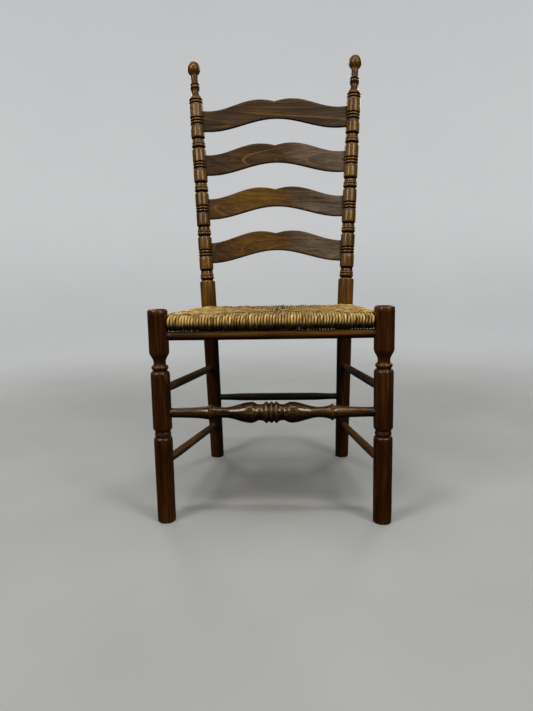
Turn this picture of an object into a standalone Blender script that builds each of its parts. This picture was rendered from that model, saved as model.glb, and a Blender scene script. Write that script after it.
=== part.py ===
"""Ladder-back dining chair with turned posts, four shaped slats and a rush seat.

Metres, +Z up.  The origin lies on the floor under the middle of the chair's bounding box.
The chair faces -Y, so its left is at -X and its right at +X.  Every stick ends in a blind
socket of its leg or post, with a fitting gap all round.
"""

import math

import bmesh
import bpy
from mathutils import Vector

# ---------------------------------------------------------------- driving dimensions
FIT_GAP = 0.0003                  # clearance between any two pieces that meet

LEG_HEIGHT = 0.475                # front leg, floor to its flat top
LEG_HALF_SPAN = 0.240             # chair centre line to a front leg's axis
LEG_TOP_RADIUS = 0.0215
LEG_MID_RADIUS = 0.0208
LEG_FOOT_RADIUS = 0.0200

POST_HEIGHT = 1.168               # back post, floor to the crown of its ball
POST_BEND_HEIGHT = 0.452          # the post leans back above the seat
POST_BEND_REACH = 0.060           # the bend is spread this far below and above
POST_FOOT_HALF_SPAN = 0.190
POST_BEND_HALF_SPAN = 0.1975
POST_TOP_HALF_SPAN = 0.2355
FOOT_DEPTH = 0.447                # front leg axis to back post axis, at the floor
BEND_DEPTH = 0.4285               # the same at the bend
TOP_DEPTH = 0.5225                # the same at the crown
POST_UPPER_RADIUS = 0.0197
POST_SEAT_RADIUS = 0.0219
POST_FOOT_RADIUS = 0.0193

BALL_RADIUS = 0.0187
BALL_HALF_HEIGHT = 0.0205
GROOVE_PITCH = 0.0083             # three grooves round a post beside each slat
GROOVE_WIDTH = 0.0046
GROOVE_DEPTH = 0.0017

SLAT_COUNT = 4
SLAT_PITCH = 0.127
TOP_SLAT_HEIGHT = 0.994           # floor to the middle of the highest slat's ends
SLAT_END_WIDTH = 0.0585
SLAT_THICKNESS = 0.0095
SLAT_BOW = 0.016                  # the slats curve backwards between the posts
SLAT_ARCH = 0.037                 # rise of the lower edge at the middle
SLAT_HUMP_RISE = 0.0345           # rise of the upper edge at its two humps
SLAT_NOTCH_DROP = 0.0065          # the cusp between the two humps
SLAT_HUMP_OFFSET = 0.045
SLAT_SHAPE_HALF_LENGTH = 0.195    # beyond this both edges run level to the post
SLAT_TENON = 0.013

APRON_HEIGHT = 0.4170
APRON_RADIUS = 0.0100
RAIL_RADIUS = 0.0100
RAIL_TENON_RADIUS = 0.0065
RAIL_TENON_LENGTH = 0.0130
FRONT_RAIL_HEIGHT = 0.4430        # seat rails at the front and the back
SIDE_RAIL_HEIGHT = 0.4450

FRONT_STRETCHER_HEIGHT = 0.2480
BACK_STRETCHER_HEIGHT = 0.1860
BACK_STRETCHER_RADIUS = 0.0110
SIDE_RADIUS = 0.0098
SIDE_UPPER_FRONT_HEIGHT = 0.2978
SIDE_UPPER_BACK_HEIGHT = 0.2786
SIDE_LOWER_FRONT_HEIGHT = 0.1353
SIDE_LOWER_BACK_HEIGHT = 0.1004
STICK_END_RADIUS = 0.0088         # the sticks are thinned towards their ends
STICK_TENON_LENGTH = 0.0180

RUSH_COVER = 0.0055               # thickness of the cords wrapped round a rail
RUSH_DISH = 0.0050                # the seat sinks towards its middle
RUSH_DISH_INSET = 0.120           # from the rail axes to the flat floor of the dish
RUSH_DISH_RIM_INSET = -0.040      # the dish's side, drawn on as far again above the top
RUSH_EDGE_ROUND = 0.0120
STUFFING_HALF_HEIGHT = 0.0055
STUFFING_TRIM = 0.10              # the pads stop short of the legs by this share of an edge
SEAT_CLEARANCE = 0.0010           # rush to leg

POST_SIDES = 16
LEG_SIDES = 20
STICK_SIDES = 16
SLAT_COLUMNS = 24

# The bounding box runs from the front of the front legs to the back of the leaning balls,
# whose widest rings lie a little lower, and so further forward, than the crowns.
BALL_LEAN = 0.0012
BOX_DEPTH = LEG_TOP_RADIUS + TOP_DEPTH + BALL_RADIUS - BALL_LEAN
FRONT_Y = LEG_TOP_RADIUS - BOX_DEPTH / 2


# ---------------------------------------------------------------- scene and materials
def clear_scene():
    for item in list(bpy.data.objects):
        bpy.data.objects.remove(item, do_unlink=True)


def make_material(name, colour, roughness):
    material = bpy.data.materials.new(name)
    material.use_nodes = True
    shader = material.node_tree.nodes["Principled BSDF"]
    shader.inputs["Base Color"].default_value = (*colour, 1.0)
    shader.inputs["Roughness"].default_value = roughness
    shader.inputs["Metallic"].default_value = 0.0
    return material


def finish_object(name, mesh_builder, material):
    """Turn a bmesh into a named, smooth-shaded object with outward faces."""
    bmesh.ops.recalc_face_normals(mesh_builder, faces=mesh_builder.faces)
    mesh = bpy.data.meshes.new(name)
    mesh_builder.to_mesh(mesh)
    mesh_builder.free()
    mesh.shade_smooth()
    mesh.set_sharp_from_angle(angle=math.radians(35))
    mesh.materials.append(material)
    item = bpy.data.objects.new(name, mesh)
    bpy.context.scene.collection.objects.link(item)
    return item


# ---------------------------------------------------------------- turned profiles
# A profile is a list of (distance along the piece, radius), in rising order.
def ease(start, end, steps):
    """Points of an S-shaped run between two profile points, without its ends."""
    points = []
    for step in range(1, steps):
        share = step / steps
        blend = (1 - math.cos(math.pi * share)) / 2
        along = start[0] + (end[0] - start[0]) * share
        points.append((along, start[1] + (end[1] - start[1]) * blend))
    return points


def shoulder(narrow, full, steps):
    """A quarter-round from a narrow point out to the full radius, both included."""
    points = []
    for step in range(steps + 1):
        angle = math.pi / 2 * step / steps
        along = full[0] - (full[0] - narrow[0]) * math.cos(angle)
        points.append((along, narrow[1] + (full[1] - narrow[1]) * math.sin(angle)))
    return sorted(points)


def groove(centre, radius, width, depth):
    half = width / 2
    return [(centre - half, radius), (centre, radius - depth), (centre + half, radius)]


def front_leg_profile():
    """Plain foot, ringed knee, plain shank, bead under a waisted neck, plain flat top."""
    top = LEG_HEIGHT
    points = [(0.0, LEG_FOOT_RADIUS - 0.0020), (0.0030, LEG_FOOT_RADIUS)]
    points += shoulder((0.1945, 0.0160), (0.1875, LEG_MID_RADIUS - 0.0004), 3)
    points += [(0.1970, 0.0172), (0.2010, 0.0180), (0.2050, 0.0172), (0.2070, 0.0163)]
    points += shoulder((0.2110, 0.0170), (0.2175, LEG_MID_RADIUS), 3)
    points += shoulder((0.3410, 0.0160), (0.3325, LEG_MID_RADIUS), 4)
    points += [(0.3435, 0.0154), (0.3455, 0.0172), (0.3490, 0.0183), (0.3530, 0.0168)]
    points += [(0.3550, 0.0134)]
    points += ease((0.3610, 0.0132), (0.3840, LEG_TOP_RADIUS), 5)
    points += [(0.3840, LEG_TOP_RADIUS), (top - 0.0045, LEG_TOP_RADIUS)]
    points += [(top - 0.0010, LEG_TOP_RADIUS - 0.0030), (top, LEG_TOP_RADIUS - 0.0050)]
    return points


def spool_profile(middle):
    """The spool below a slat at a given height: groove, ridge, line, ring, neck, groove."""
    radius = POST_UPPER_RADIUS
    steps = ((-0.0835, 1.000), (-0.0795, 0.925), (-0.0785, 0.862), (-0.0750, 0.862),
             (-0.0735, 0.980), (-0.0700, 1.000), (-0.0674, 0.975), (-0.0662, 0.930),
             (-0.0648, 0.958), (-0.0615, 0.955), (-0.0575, 0.895), (-0.0532, 0.875),
             (-0.0520, 0.850), (-0.0486, 0.850), (-0.0470, 0.965), (-0.0440, 1.000))
    return [(middle + along, radius * share) for along, share in steps]


def finial_profile():
    """Double-grooved shoulder, thin neck, grooved collar, thin neck and an egg-shaped ball."""
    radius = POST_UPPER_RADIUS
    points = groove(1.0454, radius, GROOVE_WIDTH, GROOVE_DEPTH)
    points += groove(1.0539, radius, GROOVE_WIDTH, GROOVE_DEPTH)
    points += ease((1.0570, radius), (1.0745, 0.0108), 4)
    points += [(1.0840, 0.0104), (1.0868, 0.0130), (1.0893, 0.0121), (1.0917, 0.0131)]
    points += [(1.0945, 0.0139), (1.0973, 0.0131), (1.0997, 0.0121), (1.1022, 0.0130)]
    points += [(1.1045, 0.0110), (1.1160, 0.0100)]
    ball_centre = POST_HEIGHT - BALL_HALF_HEIGHT
    start_angle = math.radians(-54)
    steps = 8
    for step in range(steps):
        angle = start_angle + (math.pi / 2 - start_angle) * step / steps
        along = ball_centre + BALL_HALF_HEIGHT * math.sin(angle)
        points.append((along, BALL_RADIUS * math.cos(angle)))
    points.append((POST_HEIGHT, 0.0018))
    return points


def back_post_profile():
    points = [(0.0, POST_FOOT_RADIUS - 0.0015), (0.0030, POST_FOOT_RADIUS)]
    points += [(0.3600, 0.0211), (0.3950, 0.0217), (0.4150, POST_SEAT_RADIUS)]
    points += [(0.4350, POST_SEAT_RADIUS), (0.4520, POST_SEAT_RADIUS)]
    points += [(0.4690, POST_SEAT_RADIUS), (0.4890, POST_SEAT_RADIUS)]
    points += [(0.5110, POST_SEAT_RADIUS)]
    for index in reversed(range(SLAT_COUNT)):
        middle = TOP_SLAT_HEIGHT - SLAT_PITCH * index
        spool = spool_profile(middle)
        if index == SLAT_COUNT - 1:
            spool[0] = (middle - 0.0860, POST_SEAT_RADIUS)
        points += spool
        for step in (-1, 0, 1):
            points += groove(middle + GROOVE_PITCH * step, POST_UPPER_RADIUS,
                             GROOVE_WIDTH, GROOVE_DEPTH)
    points += finial_profile()
    return points


def front_stretcher_profile(half_length):
    """Centre beads between two mirrored balusters, each with a neck, ring and trumpet end."""
    half = [(0.0, 0.0231), (0.0057, 0.0200), (0.0113, 0.0231), (0.0165, 0.0195)]
    half += [(0.0252, 0.0172)]
    half += ease((0.0252, 0.0172), (0.0425, 0.0229), 3)
    half += [(0.0425, 0.0229)]
    half += ease((0.0425, 0.0229), (0.1030, 0.0113), 7)
    half += [(0.1030, 0.0113), (0.1200, 0.0132), (0.1282, 0.0152), (0.1315, 0.0186)]
    half += [(0.1350, 0.0158), (0.1450, 0.0138), (0.1580, 0.0122), (0.1740, 0.0113)]
    half += [(0.2060, 0.0106), (half_length - 0.0260, 0.0104), (half_length, 0.0104)]
    mirrored = [(-along, radius) for along, radius in reversed(half[1:])]
    return mirrored + half


def stick_profile(length, body_radius):
    """A plain round stick, a little thinner where it enters its sockets."""
    entry = STICK_TENON_LENGTH + 0.006
    swell = STICK_TENON_LENGTH + 0.075
    return [(0.0, STICK_END_RADIUS), (entry, STICK_END_RADIUS), (swell, body_radius),
            (length - swell, body_radius), (length - entry, STICK_END_RADIUS),
            (length, STICK_END_RADIUS)]


def seat_rail_profile(length):
    """A seat rail: thick under the cords, with a thin round tenon at each end."""
    shoulder_at = RAIL_TENON_LENGTH + 0.0120
    return [(0.0, RAIL_TENON_RADIUS), (shoulder_at, RAIL_TENON_RADIUS),
            (shoulder_at + 0.0040, RAIL_RADIUS), (length - shoulder_at - 0.0040, RAIL_RADIUS),
            (length - shoulder_at, RAIL_TENON_RADIUS), (length, RAIL_TENON_RADIUS)]


# ---------------------------------------------------------------- axes of legs and posts
def leg_axis(side, height):
    return Vector((side * LEG_HALF_SPAN, FRONT_Y, height))


def post_axis(side, height):
    """Point on a back post's centre line: two straight runs joined by a smooth bend."""
    foot = Vector((side * POST_FOOT_HALF_SPAN, FRONT_Y + FOOT_DEPTH, 0.0))
    knee = Vector((side * POST_BEND_HALF_SPAN, FRONT_Y + BEND_DEPTH, POST_BEND_HEIGHT))
    crown = Vector((side * POST_TOP_HALF_SPAN, FRONT_Y + TOP_DEPTH, POST_HEIGHT))
    low = POST_BEND_HEIGHT - POST_BEND_REACH
    high = POST_BEND_HEIGHT + POST_BEND_REACH
    if height <= low:
        return foot.lerp(knee, height / POST_BEND_HEIGHT)
    if height >= high:
        share = (height - POST_BEND_HEIGHT) / (POST_HEIGHT - POST_BEND_HEIGHT)
        return knee.lerp(crown, share)
    start = post_axis(side, low)
    end = post_axis(side, high)
    share = (height - low) / (high - low)
    return start.lerp(knee, share).lerp(knee.lerp(end, share), share)


def post_direction(side, height):
    step = 0.001
    return (post_axis(side, height + step) - post_axis(side, height - step)).normalized()


# ---------------------------------------------------------------- solids of revolution
def add_tube(mesh_builder, rings, sides):
    """Skin a row of circles.  A ring is (centre, direction, radius)."""
    loops = []
    for centre, direction, radius in rings:
        across = Vector((1, 0, 0)) - direction * direction.x
        if across.length < 0.2:
            across = Vector((0, 0, 1)) - direction * direction.z
        across.normalize()
        upward = direction.cross(across)
        loop = []
        for step in range(sides):
            angle = 2 * math.pi * step / sides
            offset = across * math.cos(angle) + upward * math.sin(angle)
            loop.append(mesh_builder.verts.new(centre + offset * radius))
        loops.append(loop)
    for lower, upper in zip(loops, loops[1:]):
        for step in range(sides):
            following = (step + 1) % sides
            corners = (lower[step], lower[following], upper[following], upper[step])
            mesh_builder.faces.new(corners)
    mesh_builder.faces.new(list(reversed(loops[0])))
    mesh_builder.faces.new(loops[-1])


def build_stick(name, start, end, profile, material, sides=STICK_SIDES):
    """A turned stick, modelled along its own Z and laid between two points."""
    mesh_builder = bmesh.new()
    base = profile[0][0]
    up = Vector((0, 0, 1))
    rings = [(Vector((0, 0, along - base)), up, radius) for along, radius in profile]
    add_tube(mesh_builder, rings, sides)
    stick = finish_object(name, mesh_builder, material)
    stick.location = start
    stick.rotation_mode = "QUATERNION"
    stick.rotation_quaternion = (end - start).to_track_quat("Z", "Y")
    return stick


def build_front_leg(side, name, material):
    mesh_builder = bmesh.new()
    up = Vector((0, 0, 1))
    rings = [(Vector((0, 0, along)), up, radius) for along, radius in front_leg_profile()]
    add_tube(mesh_builder, rings, LEG_SIDES)
    leg = finish_object(name, mesh_builder, material)
    leg.location = leg_axis(side, 0.0)
    return leg


def build_back_post(side, name, material):
    mesh_builder = bmesh.new()
    foot_cut = 0.0031             # the foot is sawn level, so its lowest rings lie flat
    origin = post_axis(side, 0.0)
    rings = []
    for along, radius in back_post_profile():
        direction = post_direction(side, along) if along > foot_cut else Vector((0, 0, 1))
        rings.append((post_axis(side, along) - origin, direction, radius))
    add_tube(mesh_builder, rings, POST_SIDES)
    post = finish_object(name, mesh_builder, material)
    post.location = origin
    return post


# ---------------------------------------------------------------- sockets
def clear_radius(radius, sides):
    """Radius of a cutter whose flats clear a round tenon by the fitting gap."""
    return (radius + FIT_GAP) / math.cos(math.pi / sides)


def cut_with(host, cutter):
    cutter.hide_render = True
    cutter.display_type = "WIRE"
    cut = host.modifiers.new("cut_" + cutter.name, "BOOLEAN")
    cut.operation = "DIFFERENCE"
    cut.solver = "EXACT"
    cut.object = cutter


def cut_round_sockets(host, tenons, material):
    """Bore a host for each tenon, given as (tip, outward direction, radius)."""
    reach = 0.045
    mesh_builder = bmesh.new()
    for tip, outward, radius in tenons:
        bore = clear_radius(radius, STICK_SIDES)
        rings = [(tip - outward * FIT_GAP, outward, bore),
                 (tip + outward * reach, outward, bore)]
        add_tube(mesh_builder, rings, STICK_SIDES)
    cutter = finish_object(host.name + "_bores", mesh_builder, material)
    cut_with(host, cutter)


def stick_ends(start_axis, end_axis, start_radius, end_radius, tenon):
    """Tips of a stick whose tenons sink a given depth into the members at its ends."""
    along = (end_axis - start_axis).normalized()
    start = start_axis + along * (start_radius - tenon)
    end = end_axis - along * (end_radius - tenon)
    return start, end


# ---------------------------------------------------------------- slats
def slat_edge_rise(distance):
    """Rise of a slat's lower and upper edges at a distance from its middle."""
    if distance >= SLAT_SHAPE_HALF_LENGTH:
        return 0.0, 0.0
    share = distance / SLAT_SHAPE_HALF_LENGTH
    lower = SLAT_ARCH * (1 + math.cos(math.pi * share)) / 2
    if distance <= SLAT_HUMP_OFFSET:
        inward = 1 - distance / SLAT_HUMP_OFFSET
        upper = SLAT_HUMP_RISE - SLAT_NOTCH_DROP * inward * inward
    else:
        outward = distance - SLAT_HUMP_OFFSET
        share = outward / (SLAT_SHAPE_HALF_LENGTH - SLAT_HUMP_OFFSET)
        upper = SLAT_HUMP_RISE * (1 + math.cos(math.pi * share)) / 2
    return lower, upper


def slat_frame(index):
    """Middle of a slat's chord, its leaning up direction, and half its length."""
    height = TOP_SLAT_HEIGHT - SLAT_PITCH * index
    post = post_axis(1, height)
    lean = post_direction(1, height)
    lean.x = 0.0
    lean.normalize()
    half_length = post.x - POST_UPPER_RADIUS + SLAT_TENON
    return Vector((0.0, post.y, post.z)), lean, half_length


def slat_section(index, across, grow):
    """Four corners of a slat's section at a place across it, and at its ends beyond."""
    middle, lean, half_length = slat_frame(index)
    back = Vector((0, 1, 0)) - lean * lean.y
    back.normalize()
    share = across / half_length
    bow = SLAT_BOW * (1 - share * share) - SLAT_BOW * 0.25
    lower_rise, upper_rise = slat_edge_rise(abs(across))
    low = -SLAT_END_WIDTH / 2 + lower_rise - grow
    high = SLAT_END_WIDTH / 2 + upper_rise + grow
    thick = SLAT_THICKNESS / 2 + grow
    centre = middle + Vector((across, 0, 0)) + back * bow
    return [centre + lean * low - back * thick, centre + lean * high - back * thick,
            centre + lean * high + back * thick, centre + lean * low + back * thick]


def build_slat(name, index, grow, material):
    """A bowed slat with a cupid's-bow top; grown, it cuts its own mortises."""
    half_length = slat_frame(index)[2] + grow
    mesh_builder = bmesh.new()
    sections = []
    for column in range(SLAT_COLUMNS + 1):
        across = half_length * (2 * column / SLAT_COLUMNS - 1)
        corners = slat_section(index, across, grow)
        sections.append([mesh_builder.verts.new(corner) for corner in corners])
    for left, right in zip(sections, sections[1:]):
        for corner in range(4):
            following = (corner + 1) % 4
            edge_loop = (left[corner], left[following], right[following], right[corner])
            mesh_builder.faces.new(edge_loop)
    mesh_builder.faces.new(sections[0])
    mesh_builder.faces.new(list(reversed(sections[-1])))
    return finish_object(name, mesh_builder, material)


# ---------------------------------------------------------------- seat
def seat_corners(inset):
    """Front-left, front-right, back-right, back-left of the rail axes, moved inwards."""
    front = FRONT_Y + inset
    back = post_axis(1, FRONT_RAIL_HEIGHT).y - inset
    front_axis = leg_axis(1, SIDE_RAIL_HEIGHT)
    back_axis = post_axis(1, SIDE_RAIL_HEIGHT)
    slope = (back_axis.x - front_axis.x) / (back_axis.y - front_axis.y)
    sideways = inset * math.sqrt(1 + slope * slope)

    def half_width(depth):
        return front_axis.x + slope * (depth - front_axis.y) - sideways

    return [(-half_width(front), front), (half_width(front), front),
            (half_width(back), back), (-half_width(back), back)]


def add_prism(mesh_builder, outline, low, high, top_outline=None):
    bottom = [mesh_builder.verts.new((x, y, low)) for x, y in outline]
    top = [mesh_builder.verts.new((x, y, high)) for x, y in top_outline or outline]
    count = len(outline)
    sides = []
    for index in range(count):
        following = (index + 1) % count
        corners = (bottom[index], bottom[following], top[following], top[index])
        sides.append(mesh_builder.faces.new(corners))
    mesh_builder.faces.new(list(reversed(bottom)))
    mesh_builder.faces.new(top)
    return sides


def rush_outline():
    """Plan of the woven seat: a trapezoid with a square notch for each leg and post."""
    reach = RAIL_RADIUS + RUSH_COVER
    front_left, front_right, back_right, back_left = seat_corners(-reach)
    leg_inner = LEG_HALF_SPAN - LEG_TOP_RADIUS - SEAT_CLEARANCE
    leg_behind = FRONT_Y + LEG_TOP_RADIUS + SEAT_CLEARANCE
    post = post_axis(1, FRONT_RAIL_HEIGHT)
    post_inner = post.x - POST_SEAT_RADIUS - 2 * SEAT_CLEARANCE
    post_before = post.y - POST_SEAT_RADIUS - 2 * SEAT_CLEARANCE
    slope = (back_right[0] - front_right[0]) / (back_right[1] - front_right[1])

    def side_x(depth):
        return front_right[0] + slope * (depth - front_right[1])

    right = [(leg_inner, front_right[1]), (leg_inner, leg_behind),
             (side_x(leg_behind), leg_behind), (side_x(post_before), post_before),
             (post_inner, post_before), (post_inner, back_right[1])]
    left = [(-x, y) for x, y in reversed(right)]
    return right + left


def build_rush_seat(material):
    mesh_builder = bmesh.new()
    reach = RAIL_RADIUS + RUSH_COVER
    low = FRONT_RAIL_HEIGHT - reach
    high = SIDE_RAIL_HEIGHT + reach
    outline = rush_outline()
    sides = add_prism(mesh_builder, outline, low, high)
    # the long free edges, at every third outline side, are rounded; the notches are not
    free_sides = (2, 5, 8, 11)
    rims = [edge for number in free_sides for edge in sides[number].edges
            if abs(edge.verts[0].co.z - edge.verts[1].co.z) < FIT_GAP]
    bmesh.ops.bevel(mesh_builder, geom=rims, offset=RUSH_EDGE_ROUND, segments=4,
                    profile=0.5, affect="EDGES", clamp_overlap=True)
    return finish_object("rush_seat", mesh_builder, material)


def dish_rush_seat(rush, material):
    """Sink the middle of the seat's top, with gently sloping sides."""
    mesh_builder = bmesh.new()
    top = SIDE_RAIL_HEIGHT + RAIL_RADIUS + RUSH_COVER
    add_prism(mesh_builder, seat_corners(RUSH_DISH_INSET), top - RUSH_DISH, top + RUSH_DISH,
              seat_corners(RUSH_DISH_RIM_INSET))
    cut_with(rush, finish_object("rush_dish", mesh_builder, material))


def build_stuffing(material):
    """Four flat pads of packed rush, one in each triangle between the seat's diagonals."""
    corners = [Vector(corner) for corner in seat_corners(RAIL_RADIUS + 2 * FIT_GAP)]
    middle_y = (corners[0].y + corners[2].y) / 2
    centre = Vector((0.0, middle_y))
    middle_height = (FRONT_RAIL_HEIGHT + SIDE_RAIL_HEIGHT) / 2
    names = ("seat_stuffing_front", "seat_stuffing_right",
             "seat_stuffing_back", "seat_stuffing_left")
    for index, name in enumerate(names):
        first = corners[index]
        second = corners[(index + 1) % 4]
        trimmed = [first.lerp(second, STUFFING_TRIM), second.lerp(first, STUFFING_TRIM),
                   second.lerp(centre, STUFFING_TRIM), centre,
                   first.lerp(centre, STUFFING_TRIM)]
        inside = (first + second + centre) / 3
        outline = [inside.lerp(corner, 0.97) for corner in trimmed]
        mesh_builder = bmesh.new()
        add_prism(mesh_builder, outline, middle_height - STUFFING_HALF_HEIGHT,
                  middle_height + STUFFING_HALF_HEIGHT)
        finish_object(name, mesh_builder, material)


def hollow_rush_seat(rush, rails, material):
    """Cut the rail tunnels and the pocket for the stuffing, which open into each other."""
    mesh_builder = bmesh.new()
    for start, end in rails:
        along = (end - start).normalized()
        bore = clear_radius(RAIL_RADIUS, STICK_SIDES)
        add_tube(mesh_builder, [(start, along, bore), (end, along, bore)], STICK_SIDES)
    tunnels = finish_object("rush_tunnels", mesh_builder, material)
    mesh_builder = bmesh.new()
    middle_height = (FRONT_RAIL_HEIGHT + SIDE_RAIL_HEIGHT) / 2
    room = STUFFING_HALF_HEIGHT + 2 * FIT_GAP
    add_prism(mesh_builder, seat_corners(RAIL_RADIUS / 2), middle_height - room,
              middle_height + room)
    pocket = finish_object("rush_pocket", mesh_builder, material)
    cut_with(rush, tunnels)
    cut_with(rush, pocket)


# ---------------------------------------------------------------- assembly
def stick_between(name, start_axis, end_axis, radii, body_radius, material):
    """A plain stick with its tenons; returns its two tips and the line through them."""
    start, end = stick_ends(start_axis, end_axis, radii[0], radii[1], STICK_TENON_LENGTH)
    profile = stick_profile((end - start).length, body_radius)
    build_stick(name, start, end, profile, material)
    return start, end


def seat_rail_between(name, start_axis, end_axis, radii, material):
    start, end = stick_ends(start_axis, end_axis, radii[0], radii[1], RAIL_TENON_LENGTH)
    profile = seat_rail_profile((end - start).length)
    build_stick(name, start, end, profile, material)
    return start, end


def note_tenons(sockets, first_host, second_host, tips, radius):
    """Record the tenon at each end of a stick under the member that receives it."""
    start, end = tips
    along = (end - start).normalized()
    sockets[first_host].append((start, along, radius))
    sockets[second_host].append((end, -along, radius))


def build_cross_sticks(sockets, wood):
    """The sticks that run across the chair: apron, stretchers and two seat rails."""
    legs = ("front_leg_left", "front_leg_right")
    posts = ("back_post_left", "back_post_right")

    apron_radii = (LEG_TOP_RADIUS, LEG_TOP_RADIUS)
    tips = stick_between("front_apron_rail", leg_axis(-1, APRON_HEIGHT),
                         leg_axis(1, APRON_HEIGHT), apron_radii, APRON_RADIUS, wood)
    note_tenons(sockets, *legs, tips, STICK_END_RADIUS)

    tips = seat_rail_between("seat_rail_front", leg_axis(-1, FRONT_RAIL_HEIGHT),
                             leg_axis(1, FRONT_RAIL_HEIGHT), apron_radii, wood)
    note_tenons(sockets, *legs, tips, RAIL_TENON_RADIUS)
    front_rail = tips

    left = leg_axis(-1, FRONT_STRETCHER_HEIGHT)
    right = leg_axis(1, FRONT_STRETCHER_HEIGHT)
    tips = stick_ends(left, right, LEG_MID_RADIUS, LEG_MID_RADIUS, STICK_TENON_LENGTH)
    profile = front_stretcher_profile((tips[1] - tips[0]).length / 2)
    build_stick("front_stretcher", *tips, profile, wood)
    note_tenons(sockets, *legs, tips, profile[0][1])

    post_radii = (POST_FOOT_RADIUS, POST_FOOT_RADIUS)
    tips = stick_between("back_stretcher", post_axis(-1, BACK_STRETCHER_HEIGHT),
                         post_axis(1, BACK_STRETCHER_HEIGHT), post_radii,
                         BACK_STRETCHER_RADIUS, wood)
    note_tenons(sockets, *posts, tips, STICK_END_RADIUS)

    rail_radii = (POST_SEAT_RADIUS, POST_SEAT_RADIUS)
    tips = seat_rail_between("seat_rail_back", post_axis(-1, FRONT_RAIL_HEIGHT),
                             post_axis(1, FRONT_RAIL_HEIGHT), rail_radii, wood)
    note_tenons(sockets, *posts, tips, RAIL_TENON_RADIUS)
    return [front_rail, tips]


def build_side_sticks(side, word, sockets, wood):
    """Two stretchers and the seat rail of one side, from front leg to back post."""
    leg = "front_leg_" + word
    post = "back_post_" + word
    levels = (("upper", SIDE_UPPER_FRONT_HEIGHT, SIDE_UPPER_BACK_HEIGHT),
              ("lower", SIDE_LOWER_FRONT_HEIGHT, SIDE_LOWER_BACK_HEIGHT))
    for level, front_height, back_height in levels:
        radii = (LEG_FOOT_RADIUS, POST_FOOT_RADIUS)
        tips = stick_between("side_stretcher_" + level + "_" + word,
                             leg_axis(side, front_height), post_axis(side, back_height),
                             radii, SIDE_RADIUS, wood)
        note_tenons(sockets, leg, post, tips, STICK_END_RADIUS)
    tips = seat_rail_between("seat_rail_" + word, leg_axis(side, SIDE_RAIL_HEIGHT),
                             post_axis(side, SIDE_RAIL_HEIGHT),
                             (LEG_TOP_RADIUS, POST_SEAT_RADIUS), wood)
    note_tenons(sockets, leg, post, tips, RAIL_TENON_RADIUS)
    return tips


def main():
    clear_scene()
    wood = make_material("stained_wood", (0.055, 0.024, 0.008), 0.35)
    slat_wood = make_material("stained_slat_wood", (0.085, 0.045, 0.022), 0.42)
    rush_fibre = make_material("rush_cord", (0.40, 0.27, 0.10), 0.75)
    packing = make_material("packed_rush", (0.30, 0.22, 0.10), 0.90)

    hosts = {}
    sides = ((-1, "left"), (1, "right"))
    for side, word in sides:
        for name, build in (("front_leg_", build_front_leg), ("back_post_", build_back_post)):
            hosts[name + word] = build(side, name + word, wood)

    sockets = {name: [] for name in hosts}
    rails = build_cross_sticks(sockets, wood)
    for side, word in sides:
        rails.append(build_side_sticks(side, word, sockets, wood))

    for index in range(SLAT_COUNT):
        name = "slat_" + str(index + 1)
        build_slat(name, index, 0.0, slat_wood)
        mortiser = build_slat(name + "_mortises", index, FIT_GAP, slat_wood)
        for word in ("left", "right"):
            cut_with(hosts["back_post_" + word], mortiser)

    for name, host in hosts.items():
        cut_round_sockets(host, sockets[name], wood)

    rush = build_rush_seat(rush_fibre)
    build_stuffing(packing)
    hollow_rush_seat(rush, rails, rush_fibre)
    dish_rush_seat(rush, rush_fibre)


main()
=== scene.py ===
"""Looks of a ladder-back dining chair: turned and stained wood, and a seat of twisted rush.

Every visible wooden piece is turned or shaped again here at full detail, on the dimensions
of the CAD model, and the seat is wound from separate twisted cords.  Metres, +Z up; the
chair faces -Y.
"""
import math

import bpy
import numpy as np
from mathutils import Matrix, Vector
from numpy.lib.stride_tricks import sliding_window_view


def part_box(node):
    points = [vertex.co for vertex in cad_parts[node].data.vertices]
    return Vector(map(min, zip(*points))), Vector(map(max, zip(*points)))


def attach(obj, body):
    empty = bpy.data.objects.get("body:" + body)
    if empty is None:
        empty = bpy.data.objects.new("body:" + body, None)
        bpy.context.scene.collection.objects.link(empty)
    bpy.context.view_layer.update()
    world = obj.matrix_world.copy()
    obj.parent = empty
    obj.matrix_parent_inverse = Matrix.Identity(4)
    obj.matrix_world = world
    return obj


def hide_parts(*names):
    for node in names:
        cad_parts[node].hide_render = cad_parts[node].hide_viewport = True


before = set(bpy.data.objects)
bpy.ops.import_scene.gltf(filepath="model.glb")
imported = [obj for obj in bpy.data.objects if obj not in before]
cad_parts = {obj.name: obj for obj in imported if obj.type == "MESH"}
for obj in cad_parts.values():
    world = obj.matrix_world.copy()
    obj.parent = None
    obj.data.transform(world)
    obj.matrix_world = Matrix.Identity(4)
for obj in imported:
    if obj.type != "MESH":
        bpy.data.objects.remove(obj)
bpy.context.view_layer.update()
scene = bpy.context.scene
scene.view_settings.view_transform = "Standard"

# ---- dimensions of the chair
LEG_HEIGHT = 0.475
LEG_TOP_RADIUS = 0.0215
LEG_MID_RADIUS = 0.0208
LEG_FOOT_RADIUS = 0.02

POST_HEIGHT = 1.168
POST_BEND_HEIGHT = 0.452
POST_BEND_REACH = 0.06
POST_FOOT_HALF_SPAN = 0.19
POST_BEND_HALF_SPAN = 0.1975
POST_TOP_HALF_SPAN = 0.2355
FOOT_DEPTH = 0.447
BEND_DEPTH = 0.4285
TOP_DEPTH = 0.5225
POST_UPPER_RADIUS = 0.0197
POST_SEAT_RADIUS = 0.0219
POST_FOOT_RADIUS = 0.0193
BALL_RADIUS = 0.0187
BALL_HALF_HEIGHT = 0.0205
GROOVE_PITCH = 0.0083

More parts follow.
